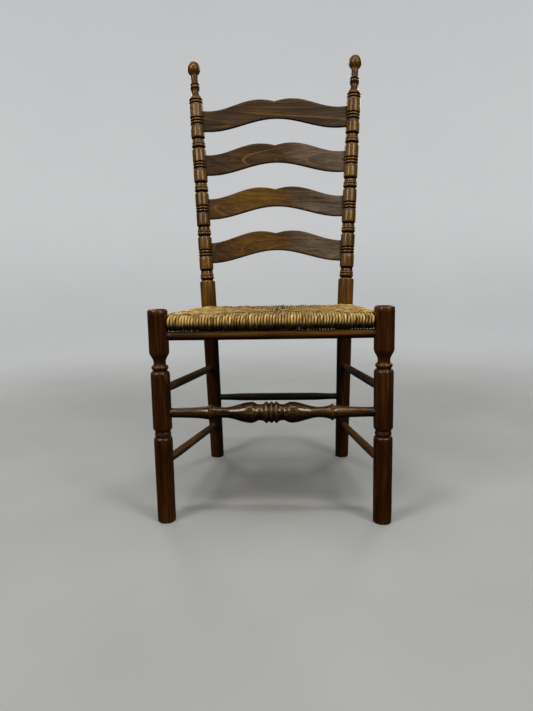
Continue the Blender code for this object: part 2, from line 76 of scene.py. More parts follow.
SLAT_COUNT = 4
SLAT_PITCH = 0.127
TOP_SLAT_HEIGHT = 0.994
SLAT_END_WIDTH = 0.0585
SLAT_THICKNESS = 0.0095
SLAT_BOW = 0.016
SLAT_ARCH = 0.037
SLAT_HUMP_RISE = 0.0345
SLAT_NOTCH_DROP = 0.0065
SLAT_HUMP_OFFSET = 0.045
SLAT_SHAPE_HALF_LENGTH = 0.195
SLAT_TENON = 0.013
SLAT_EDGE_ROUND = 0.0022

RAIL_RADIUS = 0.01
FRONT_RAIL_HEIGHT = 0.443
SIDE_RAIL_HEIGHT = 0.445
APRON_HEIGHT = 0.417
APRON_RADIUS = 0.01
FRONT_STRETCHER_HEIGHT = 0.248
BACK_STRETCHER_HEIGHT = 0.186
BACK_STRETCHER_RADIUS = 0.011
SIDE_RADIUS = 0.0098
SIDE_LEVELS = (("upper", 0.2978, 0.2786), ("lower", 0.1353, 0.1004))
STICK_END_RADIUS = 0.0088
TENON = 0.008  # how far a visible stick runs on into its leg

LEG_LOW, LEG_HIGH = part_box("front_leg_right")
LEG_HALF_SPAN = (LEG_LOW[0] + LEG_HIGH[0]) / 2
FRONT_Y = (LEG_LOW[1] + LEG_HIGH[1]) / 2

TURNED_SIDES = 72
STICK_SIDES = 48
SIDES = ((-1, "left"), (1, "right"))
UP = Vector((0, 0, 1))


# ---- meshes
def random_for(name):
    """A random generator of its own for each piece, so that pieces don't affect each other."""
    seed = sum((index + 1) * ord(letter) for index, letter in enumerate(name))
    return np.random.default_rng(seed)


def make_mesh(name, points, polygons, wearing=None):
    """A smooth-shaded mesh; wearing gives, for each face, which of the materials it wears."""
    mesh = bpy.data.meshes.new(name)
    corners = np.concatenate([np.asarray(block).ravel() for block in polygons])
    sizes = np.concatenate([np.full(len(block), np.shape(block)[1]) for block in polygons])
    mesh.vertices.add(len(points))
    mesh.vertices.foreach_set("co", np.asarray(points, np.float32).ravel())
    mesh.loops.add(len(corners))
    mesh.loops.foreach_set("vertex_index", corners.astype(np.int32))
    mesh.polygons.add(len(sizes))
    starts = np.concatenate([[0], np.cumsum(sizes)[:-1]]).astype(np.int32)
    mesh.polygons.foreach_set("loop_start", starts)
    if wearing is not None:
        mesh.polygons.foreach_set("material_index", wearing.astype(np.int32))
    mesh.update(calc_edges=True)
    mesh.validate()
    mesh.shade_smooth()
    return mesh


def make_piece(mesh, attributes, materials, node):
    """A piece, named as its mesh, that rides on the root body in place of a CAD node."""
    for label, values in attributes.items():
        plain = values.ndim == 1
        layer = mesh.attributes.new(label, "FLOAT" if plain else "FLOAT_VECTOR", "POINT")
        layer.data.foreach_set("value" if plain else "vector",
                               values.astype(np.float32).ravel())
    for material in materials:
        mesh.materials.append(material)
    piece = bpy.data.objects.new(mesh.name, mesh)
    scene.collection.objects.link(piece)
    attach(piece, "root")
    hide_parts(node)
    return piece


def grid_quads(rows, columns, first=0):
    """Quads of a tube of rows x columns points, closed round each row."""
    row = np.arange(rows - 1)[:, None] * columns
    here = np.arange(columns)[None, :]
    following = (here + 1) % columns
    quads = np.stack([row + here, row + following, row + columns + following,
                      row + columns + here], axis=-1)
    return quads.reshape(-1, 4) + first


def cap_triangles(loop, centre, flip):
    following = np.roll(loop, -1)
    middle = np.full(len(loop), centre)
    order = [middle, following, loop] if flip else [middle, loop, following]
    return np.stack(order, axis=-1)


# ---- turned profiles
# A profile is a list of (distance along the piece, radius), in rising order.  A third
# number, where there is one, says how black the old finish has gone there.
def ease(start, end, steps=16):
    share = np.linspace(0, 1, steps + 1)[1:-1]
    blend = (1 - np.cos(np.pi * share)) / 2
    along = start[0] + (end[0] - start[0]) * share
    return list(zip(along, start[1] + (end[1] - start[1]) * blend))


def shoulder(narrow, full, steps=10):
    """A quarter-round from a narrow point out to the full radius."""
    angle = np.linspace(0, np.pi / 2, steps + 1)
    along = full[0] - (full[0] - narrow[0]) * np.cos(angle)
    radius = narrow[1] + (full[1] - narrow[1]) * np.sin(angle)
    return sorted(zip(along, radius))


def groove(centre, radius, width, depth):
    half = width / 2
    soft = 0.00025
    return [(centre - half - soft, radius, 0), (centre - half, radius - soft, 1),
            (centre - 0.3 * half, radius - depth, 1), (centre + 0.3 * half, radius - depth, 1),
            (centre + half, radius - soft, 1), (centre + half + soft, radius, 0)]


def front_leg_profile():
    foot = LEG_FOOT_RADIUS
    mid = LEG_MID_RADIUS
    full = LEG_TOP_RADIUS
    top = LEG_HEIGHT
    return ([(0.0, foot - 0.0022), (0.0008, foot - 0.0008), (0.003, foot)]
            + shoulder((0.1945, 0.016), (0.1875, mid - 0.0004))
            + [(0.1952, 0.0158), (0.197, 0.0172), (0.201, 0.018), (0.205, 0.0172),
               (0.2066, 0.0163), (0.2082, 0.016)]
            + shoulder((0.2095, 0.0166), (0.2175, mid))
            + shoulder((0.341, 0.0158), (0.3325, mid))
            + [(0.342, 0.0153), (0.3438, 0.0153), (0.3455, 0.0172), (0.3478, 0.0182),
               (0.3503, 0.0182), (0.353, 0.0168), (0.3543, 0.014), (0.3556, 0.0133),
               (0.361, 0.0132)]
            + ease((0.361, 0.0132), (0.384, full), 20)
            + [(0.384, full), (top - 0.0045, full), (top - 0.0026, full - 0.001),
               (top - 0.0009, full - 0.0029), (top, full - 0.005)])


def spool_profile(middle, start_radius):
    """Black groove, ridge, fine line, ring, short neck and black groove."""
    radius = POST_UPPER_RADIUS
    steps = ((-0.0797, 0.905, 0), (-0.0794, 0.890, 1), (-0.0786, 0.858, 1),
             (-0.0751, 0.858, 1), (-0.0742, 0.890, 1), (-0.0739, 0.935, 0.1),
             (-0.0728, 0.985, 0), (-0.0710, 1.000, 0), (-0.0690, 0.998, 0),
             (-0.0677, 0.975, 0.1), (-0.0672, 0.935, 1), (-0.0657, 0.930, 1),
             (-0.0652, 0.948, 0.1), (-0.0640, 0.966, 0), (-0.0618, 0.962, 0),
             (-0.0604, 0.945, 0.1), (-0.0600, 0.905, 1), (-0.0588, 0.890, 1),
             (-0.0584, 0.893, 0.1), (-0.0545, 0.884, 0), (-0.0536, 0.880, 0.1),
             (-0.0533, 0.870, 1), (-0.0525, 0.846, 1), (-0.0488, 0.846, 1),
             (-0.0478, 0.885, 1), (-0.0474, 0.925, 0), (-0.0463, 0.972, 0),
             (-0.0449, 0.995, 0), (-0.0435, 1.000, 0))
    points = shoulder((middle - 0.0800, radius * 0.915), (middle - 0.0848, start_radius), 8)
    return points + [(middle + along, radius * share, black) for along, share, black in steps]


def finial_profile():
    """Two black grooves, a waisted neck, a collar between black grooves, neck and ball."""
    radius = POST_UPPER_RADIUS
    points = groove(1.0454, radius, 0.005, 0.0018) + groove(1.0539, radius, 0.005, 0.0018)
    points += ease((1.0572, radius - 0.0002), (1.0745, 0.0108), 14)
    points += [(1.0745, 0.0108), (1.0835, 0.0104, 0.2), (1.085, 0.011, 0.5),
               (1.086, 0.0125, 0.3), (1.0868, 0.013), (1.0871, 0.0129, 1),
               (1.0893, 0.0119, 1), (1.0914, 0.0128, 1), (1.0917, 0.0131),
               (1.0945, 0.0139), (1.0972, 0.0131), (1.0975, 0.0128, 1),
               (1.0997, 0.0119, 1), (1.1018, 0.0129, 1), (1.1021, 0.013),
               (1.1032, 0.0125, 0.3), (1.1045, 0.011, 0.5), (1.107, 0.0103, 0.2),
               (1.116, 0.01), (1.124, 0.0104)]
    centre = POST_HEIGHT - BALL_HALF_HEIGHT
    for angle in np.radians(np.linspace(-54, 88, 36)):
        points.append((centre + BALL_HALF_HEIGHT * math.sin(angle),
                       BALL_RADIUS * math.cos(angle)))
    return points


def back_post_profile():
    foot = POST_FOOT_RADIUS
    points = [(0.0, foot - 0.0018), (0.0008, foot - 0.0006), (0.003, foot),
              (0.36, 0.0211), (0.415, POST_SEAT_RADIUS), (0.511, POST_SEAT_RADIUS)]
    for index in reversed(range(SLAT_COUNT)):
        middle = TOP_SLAT_HEIGHT - SLAT_PITCH * index
        lowest = index == SLAT_COUNT - 1
        points += spool_profile(middle, POST_SEAT_RADIUS if lowest else POST_UPPER_RADIUS)
        for step in (-1, 0, 1):
            points += groove(middle + GROOVE_PITCH * step, POST_UPPER_RADIUS, 0.0048, 0.0018)
    return points + finial_profile()


def front_stretcher_profile(half_length):
    """Three beads in the middle, and on each side a long vase, a small collar and a taper."""
    half = [(0.0, 0.0228), (0.0018, 0.0224), (0.0038, 0.0205), (0.005, 0.0194),
            (0.0057, 0.0192), (0.0064, 0.0198), (0.0085, 0.0226), (0.0113, 0.0231),
            (0.0135, 0.0222), (0.0155, 0.02), (0.0168, 0.0188), (0.0205, 0.0176),
            (0.0252, 0.0172)]
    half += ease((0.0252, 0.0172), (0.0425, 0.0229), 14) + [(0.0425, 0.0229)]
    half += ease((0.0425, 0.0229), (0.103, 0.0113), 30)
    half += [(0.103, 0.0113), (0.112, 0.0119), (0.12, 0.0132), (0.1262, 0.0148),
             (0.1278, 0.015), (0.129, 0.0172), (0.1304, 0.0185), (0.132, 0.0186),
             (0.1335, 0.0172), (0.1346, 0.0156), (0.138, 0.0147), (0.145, 0.0138),
             (0.158, 0.0122), (0.174, 0.0113), (0.206, 0.0106), (half_length, 0.0104)]
    return [(-along, radius) for along, radius in reversed(half[1:])] + half


def stick_profile(length, body_radius, end_radius):
    entry = TENON + 0.006
    swell = TENON + 0.075
    half = [(0.0, end_radius), (entry, end_radius)]
    half += ease((entry, end_radius), (swell, body_radius), 12) + [(swell, body_radius)]
    return half + [(length - along, radius) for along, radius in reversed(half)]


def path_length(points):
    """How far along a path each of its points lies."""
    return np.concatenate([[0], np.cumsum(np.linalg.norm(np.diff(points, axis=0), axis=1))])


def refine_profile(profile):
    """Round off a profile's corners as a lathe tool and years of wear do.

    Returns rings (along, radius, wear, dirt_and_shade): wear on proud corners, grime in hollows;
    painted shade joins it later.
    """
    step = 0.00012  # between the points that the outline is worked out at
    blur = 0.00028  # how softly the corners are rounded
    tolerance = 0.000012  # how far a ring that is left out may lie off the outline
    reach = 0.01  # the longest stretch without a ring
    corners = np.array([(*point, 0.0)[:3] for point in profile])
    run = path_length(corners[:, :2])
    place = np.arange(0, run[-1], step)
    along, radius, black = (np.interp(place, run, column) for column in corners.T)
    half = int(4 * blur / step)
    weights = np.exp(-0.5 * (np.arange(-half, half + 1) * step / blur) ** 2)
    weights /= weights.sum()

    def blurred(values):
        before = 2 * values[0] - values[half:0:-1]
        after = 2 * values[-1] - values[-2:-half - 2:-1]
        return np.convolve(np.concatenate([before, values, after]), weights, "valid")

    along = blurred(along)
    radius = blurred(radius)
    slope = np.arctan2(np.gradient(radius), np.gradient(along))
    wear = np.clip(-np.gradient(slope) / step / 900, 0, 1)

    # the lower of the highest places on either side is the brim of a hollow
    near = 63  # steps: 7.6 mm
    highest = sliding_window_view(np.pad(radius, near, mode="edge"), near + 1).max(axis=1)
    depth = np.minimum(highest[:len(radius)], highest[near:]) - radius
    dirt_and_shade = np.maximum(0.8 * np.clip(depth / 0.002, 0, 1), black)
    keep = [0]
    while keep[-1] < len(place) - 1:
        here = keep[-1]
        size = 2
        while here + size < len(place) - 1 and size * step < reach:
            inside = np.arange(1, size) / size
            line = radius[here] + (radius[here + size] - radius[here]) * inside
            if np.abs(line - radius[here + 1:here + size]).max() > tolerance:
                break
            if np.ptp(black[here:here + size + 1]) > 0.3:
                break
            size += max(1, size // 6)
        keep.append(min(here + size, len(place) - 1))
    keep = np.array(keep)
    return np.stack([along, radius, wear, dirt_and_shade], axis=1)[keep]


def turned_points(rings, sides, rng):
    """Points of a turned piece along its own Z, and one in the middle of each end."""
    angle = 2 * np.pi * np.arange(sides) / sides
    # a lathe piece is never perfectly round: it has shrunk a little across the grain
    oval = 1 + 0.006 * np.cos(2 * (angle + rng.uniform(0, np.pi)))[None, :]
    radius = rings[:, 1][:, None] * oval
    along = np.broadcast_to(rings[:, 0][:, None], radius.shape)
    points = np.stack([radius * np.cos(angle), radius * np.sin(angle), along], axis=-1)
    ends = np.array([[0, 0, rings[0, 0]], [0, 0, rings[-1, 0]]])
    return np.concatenate([points.reshape(-1, 3), ends])


def tube_polygons(count, sides):
    """A tube of count rings, with a fan of triangles over each end."""
    total = count * sides
    return [grid_quads(count, sides),
            np.concatenate([cap_triangles(np.arange(sides), total, True),
                            cap_triangles(np.arange(total - sides, total), total + 1, False)])]


def wood_attributes(points, rings, sides, rng):
    """Grain position: the pith of the tree lies some way to one side of the piece."""
    pith = 0.05
    turn = rng.uniform(0, 2 * np.pi)
    offset = np.array([pith * math.cos(turn), pith * math.sin(turn), rng.uniform(0, 5)])
    tilt = rng.uniform(-0.012, 0.012, 2)
    grain = points + offset
    grain[:, :2] += np.outer(points[:, 2], tilt)
    wear, dirt_and_shade = (np.concatenate([np.repeat(rings[:, column], sides), [0, 0]])
                   for column in (2, 3))
    return {"grain_pos": grain, "wear": wear, "dirt_and_shade": dirt_and_shade, "fade_and_light": np.zeros(len(points))}


def build_turned(name, profile, place, materials, sides=TURNED_SIDES, stick_light_shade_and_wear=False):
    """A turned piece; place(points) puts points of its own Z axis into the chair.

    materials are the wood, and the black finish at the bottom of the grooves.
    """
    rng = random_for(name)
    rings = refine_profile(profile)
    black = (rings[:-1, 3] + rings[1:, 3]) / 2 > 0.85
    wearing = np.concatenate([np.repeat(black, sides), np.zeros(2 * sides)])
    if stick_light_shade_and_wear:
        # painted shadow, with dust and old finish, darkens a stick where it enters its leg
        gap = np.minimum(rings[:, 0] - rings[0, 0], rings[-1, 0] - rings[:, 0]) - TENON
        rings[:, 3] = np.maximum(rings[:, 3], np.exp(-np.clip(gap, 0, None) / 0.0022))
    points = turned_points(rings, sides, rng)
    attributes = wood_attributes(points, rings, sides, rng)
    if name.startswith("back_post"):
        # painted light and stain worn thin make the upper posts and their balls lighter and
        # golden above the seat
        height = points[:, 2]
        golden = np.clip((height - 0.425) / 0.05, 0, 1)
        for low, high in ((1.062, 1.086), (1.103, 1.126)):  # the finial's dark necks
            golden -= 0.9 * np.clip((height - low) / 0.005, 0, 1) * np.clip(
                (high - height) / 0.005, 0, 1)
        attributes["fade_and_light"] = golden
    if name == "back_stretcher":
        # painted shade of the seat: the whole back stretcher is darkened almost to black
        attributes["dirt_and_shade"] = np.maximum(attributes["dirt_and_shade"], 0.92)
    if stick_light_shade_and_wear:
        # painted light and the wear of hands, feet and cloths lighten the upper sides; painted
        # shade keeps the lower sides black
        facing = place(points)[:, 2] - place(points * (0, 0, 1))[:, 2]
        facing = facing / np.maximum(np.linalg.norm(points[:, :2], axis=1), 0.001)
        worn_and_lit = {"front_stretcher": 0.8, "back_stretcher": 0.0}.get(name, 0.6)
        attributes["fade_and_light"] = worn_and_lit * np.clip((facing + 0.35) / 0.9, 0, 1)
        attributes["dirt_and_shade"] = np.maximum(attributes["dirt_and_shade"],
                                         0.85 * np.clip((-facing - 0.15) / 0.6, 0, 1))
    mesh = make_mesh(name + "_turned", place(points), tube_polygons(len(rings), sides), wearing)
    make_piece(mesh, attributes, materials, name)


# ---- axes of legs and posts
def leg_axis(side, height):
    return Vector((side * LEG_HALF_SPAN, FRONT_Y, height))


def post_axis(side, height):
    foot = Vector((side * POST_FOOT_HALF_SPAN, FRONT_Y + FOOT_DEPTH, 0.0))
    knee = Vector((side * POST_BEND_HALF_SPAN, FRONT_Y + BEND_DEPTH, POST_BEND_HEIGHT))
    crown = Vector((side * POST_TOP_HALF_SPAN, FRONT_Y + TOP_DEPTH, POST_HEIGHT))
    low = POST_BEND_HEIGHT - POST_BEND_REACH
    high = POST_BEND_HEIGHT + POST_BEND_REACH
    if height <= low:
        return foot.lerp(knee, height / POST_BEND_HEIGHT)
    if height >= high:
        share = (height - POST_BEND_HEIGHT) / (POST_HEIGHT - POST_BEND_HEIGHT)
        return knee.lerp(crown, share)
    start = post_axis(side, low)
    end = post_axis(side, high)
    share = (height - low) / (high - low)
    return start.lerp(knee, share).lerp(knee.lerp(end, share), share)


def post_direction(side, height):
    step = 0.001
    return (post_axis(side, height + step) - post_axis(side, height - step)).normalized()


def bend_along_post(points, side):
    """Lay points of a straight post along the bent axis; the foot stays level."""
    placed = np.empty_like(points)
    cache = {}
    for index, (x, y, along) in enumerate(points):
        key = round(float(along), 6)
        if key not in cache:
            level = min(1.0, max(0.0, (key - 0.0031) / 0.01))
            direction = UP.lerp(post_direction(side, key), level).normalized()
            across = (Vector((1, 0, 0)) - direction * direction.x).normalized()
            cache[key] = (post_axis(side, key), across, direction.cross(across))
        axis, across, upward = cache[key]
        placed[index] = axis + across * x + upward * y
    return placed


def lay_between(start, end, base):
    """A function that lays a stick's own Z axis from start to end."""
    turn = np.array((end - start).to_track_quat("Z", "Y").to_matrix())

    def place(points):
        own = points - np.array([0, 0, base])
        return own @ turn.T + np.array(start)

    return place


# ---- wooden pieces
def build_legs(wood):
    for side, word in SIDES:
        axis = np.array(leg_axis(side, 0.0))
        build_turned("front_leg_" + word, front_leg_profile(),
                     lambda points, axis=axis: points + axis, wood)
        build_turned("back_post_" + word, back_post_profile(),
                     lambda points, side=side: bend_along_post(points, side), wood)


def build_plain_stick(name, first, second, radii, body_radius, wood):
    along = (second - first).normalized()
    start = first + along * (radii[0] - TENON)
    end = second - along * (radii[1] - TENON)
    end_radius = APRON_RADIUS - 0.0003 if name == "front_apron_rail" else STICK_END_RADIUS
    profile = stick_profile((end - start).length, body_radius, end_radius)
    build_turned(name, profile, lay_between(start, end, 0.0), wood, STICK_SIDES, True)


def build_sticks(wood, polished):
    top = (LEG_TOP_RADIUS, LEG_TOP_RADIUS)
    foot = (POST_FOOT_RADIUS, POST_FOOT_RADIUS)
    build_plain_stick("front_apron_rail", leg_axis(-1, APRON_HEIGHT),
                      leg_axis(1, APRON_HEIGHT), top, APRON_RADIUS, wood)
    build_plain_stick("back_stretcher", post_axis(-1, BACK_STRETCHER_HEIGHT),
                      post_axis(1, BACK_STRETCHER_HEIGHT), foot, BACK_STRETCHER_RADIUS, wood)
    for side, word in SIDES:
        for level, front_height, back_height in SIDE_LEVELS:
            name = "side_stretcher_" + level + "_" + word
            build_plain_stick(name, leg_axis(side, front_height),
                              post_axis(side, back_height),
                              (LEG_MID_RADIUS, POST_FOOT_RADIUS), SIDE_RADIUS, wood)
    half_length = LEG_HALF_SPAN - LEG_MID_RADIUS + TENON
    left = leg_axis(-1, FRONT_STRETCHER_HEIGHT) + Vector((LEG_MID_RADIUS - TENON, 0, 0))
    right = leg_axis(1, FRONT_STRETCHER_HEIGHT) - Vector((LEG_MID_RADIUS - TENON, 0, 0))
    build_turned("front_stretcher", front_stretcher_profile(half_length),
                 lay_between(left, right, -half_length), polished, 64, True)


# ---- slats
def slat_edge_rise(distance):
    share = np.clip(distance / SLAT_SHAPE_HALF_LENGTH, 0, 1)
    lower = SLAT_ARCH * (1 + np.cos(np.pi * share)) / 2
    inward = 1 - distance / SLAT_HUMP_OFFSET
    cusp = SLAT_HUMP_RISE - SLAT_NOTCH_DROP * inward * inward
    outer = (distance - SLAT_HUMP_OFFSET) / (SLAT_SHAPE_HALF_LENGTH - SLAT_HUMP_OFFSET)
    slope = SLAT_HUMP_RISE * (1 + np.cos(np.pi * np.clip(outer, 0, 1))) / 2
    return lower, np.where(distance <= SLAT_HUMP_OFFSET, cusp, slope)


def slat_outline():
    """A rounded-rectangle section as (height share, height offset, depth) rows."""
    half_thick = SLAT_THICKNESS / 2
    face_steps = 14
    angle = np.linspace(0, np.pi / 2, 6)
    rows = []
    for depth_sign, height_sign, turn in ((-1, 1, 1), (1, 1, 0), (1, -1, 1), (-1, -1, 0)):
        for value in (angle if turn else angle[::-1]):
            rows.append((height_sign, -height_sign * SLAT_EDGE_ROUND * (1 - math.sin(value)),
                         depth_sign * (half_thick - SLAT_EDGE_ROUND * (1 - math.cos(value)))))
        if turn:
            continue
        for step in range(1, face_steps):
            share = height_sign * (1 - 2 * step / face_steps)
            rows.append((share, -share * SLAT_EDGE_ROUND, depth_sign * half_thick))
    return np.array(rows)


def with_ends(rows, count):
    """Rings of count points in a row, and the middle of the first and of the last ring."""
    rows = rows.reshape(-1, 3)
    return np.concatenate([rows, [rows[:count].mean(axis=0), rows[-count:].mean(axis=0)]])


def build_slat(index, material, tilt, pith, gold, grey):
    name = "slat_" + str(index + 1)
    rng = random_for(name)
    height = TOP_SLAT_HEIGHT - SLAT_PITCH * index
    post = post_axis(1, height)
    lean = post_direction(1, height)
    lean.x = 0.0
    lean.normalize()
    back = (Vector((0, 1, 0)) - lean * lean.y).normalized()
    half_length = post.x - POST_UPPER_RADIUS + SLAT_TENON
    columns = 181
    across = np.linspace(-half_length, half_length, columns)
    lower, upper = slat_edge_rise(np.abs(across))
    bow = SLAT_BOW * (0.75 - (across / half_length) ** 2)
    section = slat_outline()
    middle = (upper + lower) / 2
    half = (upper - lower + SLAT_END_WIDTH) / 2
    level = middle[:, None] + half[:, None] * section[:, 0] + section[:, 1]
    depth = bow[:, None] + section[:, 2]
    count = section.shape[0]
    flat_across = np.repeat(across[:, None], count, axis=1)
    points = (np.array([0.0, post.y, post.z])
              + level[..., None] * np.array(lean) + depth[..., None] * np.array(back))
    points[..., 0] = flat_across
    points = with_ends(points, count)
    # the board's own axes: height, thickness, and the grain along its length
    thickness = np.broadcast_to(section[:, 2], level.shape)
    grain = with_ends(np.stack([level, thickness, flat_across], axis=-1), count)
    grain[:, :2] += np.outer(grain[:, 2], tilt) + pith
    grain[:, 2] += rng.uniform(0, 5)
    edge_wear = 0.55 * (np.abs(section[:, 0]) > 0.999)
    # painted shadow and dust darken the slat where it enters its post, and painted shade darkens
    # its lower edge
    gap = half_length - SLAT_TENON - np.abs(across)
    joint = np.exp(-np.clip(gap, 0, None) / 0.0025)
    dirt_and_shade = np.maximum(joint[:, None], 0.75 * (section[:, 0] < -0.999))
    where = points[:, 0]
    golden = gold[0] * np.exp(-((where - gold[1]) / gold[2]) ** 2)
    # painted sheen: a grey share towards one end of the slat
    painted_sheen = grey[0] * np.clip((where - grey[1]) / 0.07, 0, 1)
    attributes = {"grain_pos": grain, "fade_and_light": golden, "sheen_grey_share": painted_sheen,
                  "wear": np.concatenate([np.tile(edge_wear, columns), [0, 0]]),
                  "dirt_and_shade": np.concatenate([dirt_and_shade.ravel(), [0, 0]])}
    mesh = make_mesh(name + "_bowed", points, tube_polygons(columns, count))
    make_piece(mesh, attributes, [material], name)


# ---- rush seat
CORD_RADIUS = 0.00295
PATH_RADIUS = RAIL_RADIUS + CORD_RADIUS
FRONT_CORDS = 35  # per half of the front rail; the same on a side's front
BACK_CORDS = 27  # per half of the back rail; the same on a side's back
FRONT_FIELD = 0.2175  # half the length of front rail that is covered
BACK_FIELD = 0.173
SIDE_START = 0.0225  # from the front rail's axis to the first side cord
SIDE_END = 0.4047
DISH = 0.0045
CROWN = 0.0032  # the packing holds the middle of each field up
UNDER_CROWN = 0.005
DISH_REACH = 0.11
CORD_SIDES = 12
CORD_ANGLE = 2 * np.pi * np.arange(CORD_SIDES) / CORD_SIDES
CORD_STEP = 0.0024
STRAND_OFFSET = 0.34  # of a strand's own radius, from the middle of the cord


def wander(rng, count, knots, size):
    """A smooth random line."""
    if count < 2:
        return np.zeros(count)
    values = rng.normal(0, size, knots + 3)
    place = np.linspace(0, knots, count)
    base = np.floor(place).astype(int)
    share = place - base
    share = share * share * (3 - 2 * share)
    return values[base] * (1 - share) + values[base + 1] * share


def side_rail_x(depth):
    """Half the distance between the side rails' axes, at a depth behind the front rail."""
    back = post_axis(1, SIDE_RAIL_HEIGHT)
    slope = (back.x - LEG_HALF_SPAN) / (back.y - FRONT_Y)
    return LEG_HALF_SPAN + slope * depth


def seam_table():
    """(across, depth) of the seam at each cord from a front corner and a back corner."""
    pitch = (SIDE_END - SIDE_START) / (FRONT_CORDS + BACK_CORDS)
    front = [(FRONT_FIELD * (1 - (index + 0.5) / FRONT_CORDS), SIDE_START + (index + 0.5) * pitch)
             for index in range(FRONT_CORDS)]
    back = [(BACK_FIELD * (1 - (index + 0.5) / BACK_CORDS), SIDE_END - (index + 0.5) * pitch)
            for index in range(BACK_CORDS)]
    return front, back


def dish_depth(x, depth):
    """How far the seat has sunk at a place, from its distance to the nearest rail."""
    back = BEND_DEPTH
    nearest = np.minimum(np.minimum(depth, back - depth), side_rail_x(depth) - np.abs(x))
    share = np.clip(nearest / DISH_REACH, 0, 1)
    return DISH * share * share * (3 - 2 * share)


def lumps(plan):
    """Broad unevenness of the seat, the same for every cord that crosses a place."""
    waves = ((71, 23, 0.4), (-38, 64, 2.1), (112, -45, 4.0), (29, 131, 5.2), (-150, 88, 1.1))
    total = sum(np.sin(plan[:, 0] * across + plan[:, 1] * along + start)
                for across, along, start in waves)
    return 0.00038 * total


def stains(x, y, z):
    """Dark patches that run over neighbouring cords, from 0 to 1."""
    waves = ((173, 61, 140, 0.7), (-97, 144, 210, 2.9), (241, -118, 90, 4.4),
             (-312, -40, 160, 1.6), (58, 207, -120, 5.5))
    total = sum(np.sin(x * a + y * b + z * c + start) for a, b, c, start in waves)
    return np.clip((total - 0.6) / 1.6, 0, 1)


def cord_path(rail_height, reach):
    """One turn of cord as (inward distance, height) rows, closed, evenly spaced.

    It comes over the top of the rail, dives at the seam and returns underneath.
    """
    bend = 0.0042
    wrap = np.linspace(-np.pi / 2, -3 * np.pi / 2, 70)
    turn = np.concatenate([np.linspace(np.pi / 2, 0, 12), np.linspace(0, -np.pi / 2, 12)])
    level = rail_height + np.repeat([PATH_RADIUS - bend, bend - PATH_RADIUS], 12)
    inward = np.concatenate([PATH_RADIUS * np.cos(wrap), reach - bend + bend * np.cos(turn)])
    height = np.concatenate([rail_height + PATH_RADIUS * np.sin(wrap),
                             level + bend * np.sin(turn)])
    path = np.stack([inward, height], axis=1)
    closed = np.concatenate([path, path[:1]])
    run = path_length(closed)
    place = np.linspace(0, run[-1], max(24, int(round(run[-1] / CORD_STEP))), endpoint=False)
    return np.stack([np.interp(place, run, column) for column in closed.T], axis=1), run[-1]


def cord_height(rng, path, plan, rail_height, reach):
    """Heights along a cord: dished and crowned above its rail, bulging and slack below."""
    share = np.clip(path[:, 0] / reach, 0, 1)
    field = reach / FRONT_FIELD
    sunk = dish_depth(plan[:, 0], plan[:, 1] - FRONT_Y) + lumps(plan)
    sunk -= CROWN * field * np.sin(np.pi * share ** 0.8)
    rise = (path[:, 1] - rail_height) / PATH_RADIUS
    lower = np.clip(-rise, 0, 1)
    height = path[:, 1] - sunk * np.clip(rise, 0, 1)
    bulge = UNDER_CROWN * rng.uniform(0.6, 1.2) * field
    height -= bulge * lower * np.sin(np.pi * share ** 0.6)
    wrapped = np.clip(1 - np.abs(path[:, 0] + 0.002) / 0.012, 0, 1)
    return height - rng.uniform(0.0004, 0.0012) * wrapped * lower


def cord_dirt_and_shade(path, plan, height, rail_height, reach):
    """Black painted shade low on the rail and in the seams, stains, and painted shade with dust
    between neighbours.
    """
    behind = np.clip(path[:, 0] / 0.03, 0, 1)
    low = np.clip((rail_height + 0.0026 - height) / 0.007, 0, 1)
    seam = np.clip((path[:, 0] - reach + 0.006) / 0.006, 0, 1)
    on_top = behind * np.clip((path[:, 1] - rail_height) / PATH_RADIUS, 0, 1)
    middle = np.clip((plan[:, 1] - FRONT_Y) / 0.1, 0, 1) * np.clip(
        1.4 - np.abs(plan[:, 0]) / 0.15, 0, 1)
    patches = 0.62 * stains(plan[:, 0], plan[:, 1], height)
    # painted shade: black under the roll of the rail and where the cords dive in at the seams
    dirt_and_shade = np.maximum(low * (1 - 0.55 * behind), 0.8 * seam)
    dirt_and_shade = np.maximum(np.maximum(dirt_and_shade, on_top * (0.16 + 0.26 * middle)), patches)
    # a cord's flanks get painted shade, with the dust between it and its neighbours
    flank = np.clip((0.86 + 0.12 * on_top[:, None] - np.sin(CORD_ANGLE)) / 0.46, 0, 1)
    return 1 - (1 - dirt_and_shade[:, None]) * (1 - 0.96 * flank)


